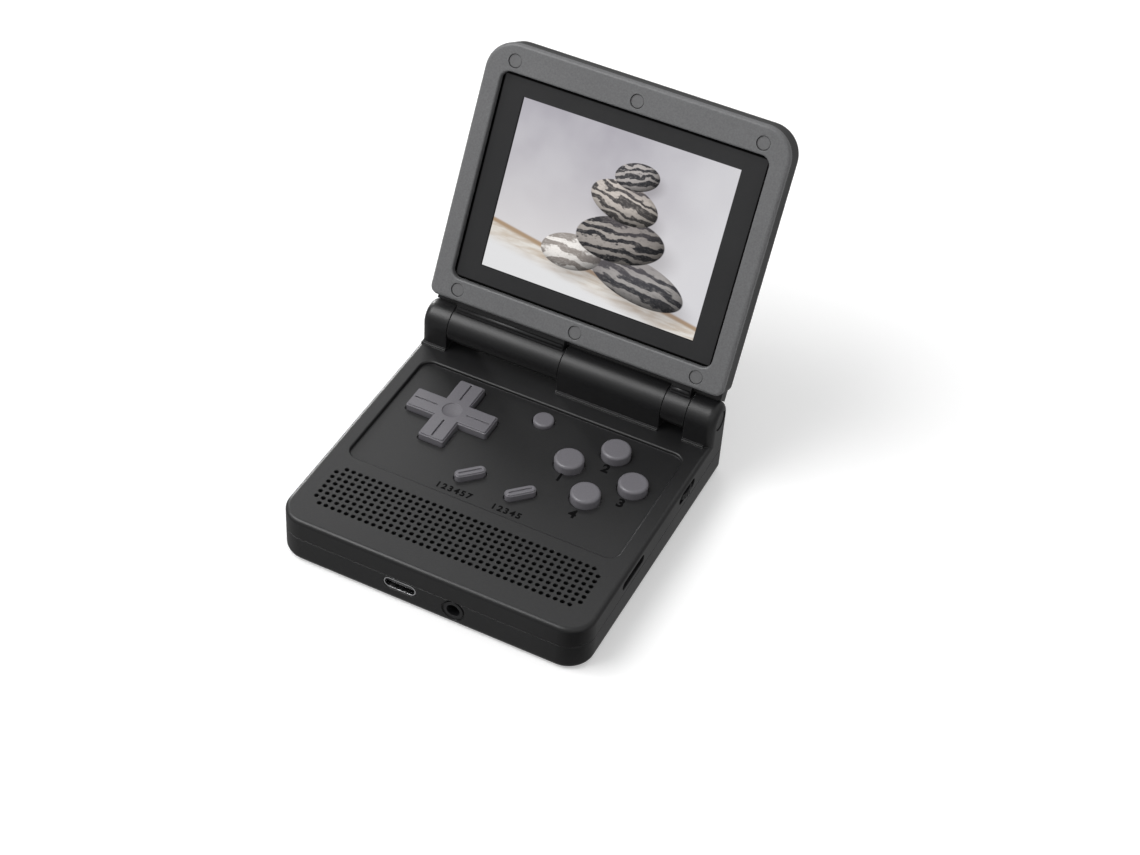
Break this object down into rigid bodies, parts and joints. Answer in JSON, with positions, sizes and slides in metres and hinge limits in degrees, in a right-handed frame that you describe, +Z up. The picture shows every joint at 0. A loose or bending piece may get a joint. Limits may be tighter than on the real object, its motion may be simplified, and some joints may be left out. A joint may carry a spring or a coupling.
{
  "type": "clamshell handheld game console",
  "caption": "Hinged two-part handheld game console: screen in a leaning lid, cross pad, round and slanted push buttons, drilled speaker grille, ports, shoulder buttons and side controls.",
  "frame": {"origin": "centre of the flat underside of the base, where it rests on a table", "axes": "+X to the player's right, +Y from the player towards the hinge, +Z up"},
  "size_m": [0.0861, 0.1165, 0.091],
  "materials": {
    "shell_black": "fine matte texture",
    "bezel_grey": "fine matte texture",
    "plug_grey": "smooth matte",
    "key_grey": "satin",
    "port_black": "moulded",
    "steel": "bright",
    "circuit_board": "solder mask",
    "polyimide": "film",
    "battery_wrap": "foil pouch, bare",
    "rubber_grey": "silicone",
    "speaker_cone": "paper cone in a black frame",
    "lens_glass": "clear with a black border",
    "display": "lit picture behind glass"
  },
  "bodies": {
    "base": {"base_top_shell": "shell_black", "base_bottom_shell": "shell_black", "battery_cover": "shell_black", "battery_cover_screw": "steel", "case_screws": "steel", "battery": "battery_wrap", "battery_contacts": "steel", "main_board": "circuit_board", "speaker_left": "speaker_cone", "speaker_right": "speaker_cone", "usb_shell": "steel", "usb_tongue": "port_black", "audio_jack": "port_black", "card_socket": "steel", "volume_pot": "port_black", "power_switch": "steel", "dpad_membrane": "rubber_grey", "button_membrane": "rubber_grey", "pill_membrane": "rubber_grey", "menu_switch": "steel", "shoulder_pins": "steel", "shoulder_switches": "steel", "hinge_pin_left": "steel", "hinge_cartridge": "steel", "hinge_end_plugs": "shell_black", "flex_connector": "port_black", "base_flex": "polyimide", "flex_roll": "polyimide"},
    "lid": {"lid_rear_shell": "shell_black", "lid_bezel": "bezel_grey", "lid_screws": "steel", "screw_plugs": "plug_grey", "screen_lens": "lens_glass", "lens_tape": "port_black", "display_panel": "display", "display_flex": "polyimide"},
    "dpad_pivot": {"dpad_pivot": "rubber_grey"},
    "dpad": {"dpad": "key_grey"},
    "button_north": {"button_north": "key_grey"},
    "button_east": {"button_east": "key_grey"},
    "button_south": {"button_south": "key_grey"},
    "button_west": {"button_west": "key_grey"},
    "select_button": {"select_button": "key_grey"},
    "start_button": {"start_button": "key_grey"},
    "menu_button": {"menu_button": "key_grey"},
    "shoulder_left": {"shoulder_left": "shell_black"},
    "shoulder_right": {"shoulder_right": "shell_black"},
    "volume_wheel": {"volume_wheel": "port_black"},
    "power_slider": {"power_slider": "key_grey"}
  },
  "joints": [
    {"name": "lid_hinge", "type": "hinge", "parent": "base", "child": "lid", "pos_m": [0, 0.037, 0.02], "axis": [1, 0, 0], "range_deg": [-35, 117]},
    {"name": "dpad_rock_up_down", "type": "hinge", "parent": "base", "child": "dpad_pivot", "pos_m": [-0.0218, 0.01119, 0.01005], "axis": [1, 0, 0], "range_deg": [-3, 3], "stiffness_Nm_per_rad": 0.12},
    {"name": "dpad_rock_left_right", "type": "hinge", "parent": "dpad_pivot", "child": "dpad", "pos_m": [-0.0218, 0.01119, 0.01005], "axis": [0, 1, 0], "range_deg": [-3, 3], "stiffness_Nm_per_rad": 0.12},
    {"name": "button_north_press", "type": "slide", "parent": "base", "child": "button_north", "axis": [0, 0, -1], "range_m": [0, 0.0009], "stiffness_N_per_m": 600},
    {"name": "button_east_press", "type": "slide", "parent": "base", "child": "button_east", "axis": [0, 0, -1], "range_m": [0, 0.0009], "stiffness_N_per_m": 600},
    {"name": "button_south_press", "type": "slide", "parent": "base", "child": "button_south", "axis": [0, 0, -1], "range_m": [0, 0.0009], "stiffness_N_per_m": 600},
    {"name": "button_west_press", "type": "slide", "parent": "base", "child": "button_west", "axis": [0, 0, -1], "range_m": [0, 0.0009], "stiffness_N_per_m": 600},
    {"name": "select_button_press", "type": "slide", "parent": "base", "child": "select_button", "axis": [0, 0, -1], "range_m": [0, 0.0009], "stiffness_N_per_m": 600},
    {"name": "start_button_press", "type": "slide", "parent": "base", "child": "start_button", "axis": [0, 0, -1], "range_m": [0, 0.0009], "stiffness_N_per_m": 600},
    {"name": "menu_button_press", "type": "slide", "parent": "base", "child": "menu_button", "axis": [0, 0, -1], "range_m": [0, 0.0009], "stiffness_N_per_m": 800},
    {"name": "shoulder_left_press", "type": "hinge", "parent": "base", "child": "shoulder_left", "pos_m": [-0.023, 0.0378, 0.007], "axis": [0, 0, 1], "range_deg": [0, 2.2], "stiffness_Nm_per_rad": 0.25},
    {"name": "shoulder_right_press", "type": "hinge", "parent": "base", "child": "shoulder_right", "pos_m": [0.023, 0.0378, 0.007], "axis": [0, 0, -1], "range_deg": [0, 2.2], "stiffness_Nm_per_rad": 0.25},
    {"name": "volume_turn", "type": "hinge", "parent": "base", "child": "volume_wheel", "pos_m": [0.0382, 0.0178, 0.011], "axis": [0, 0, 1], "range_deg": [-140, 140]},
    {"name": "power_slide", "type": "slide", "parent": "base", "child": "power_slider", "axis": [0, 1, 0], "range_m": [0, 0.0025]}
  ]
}
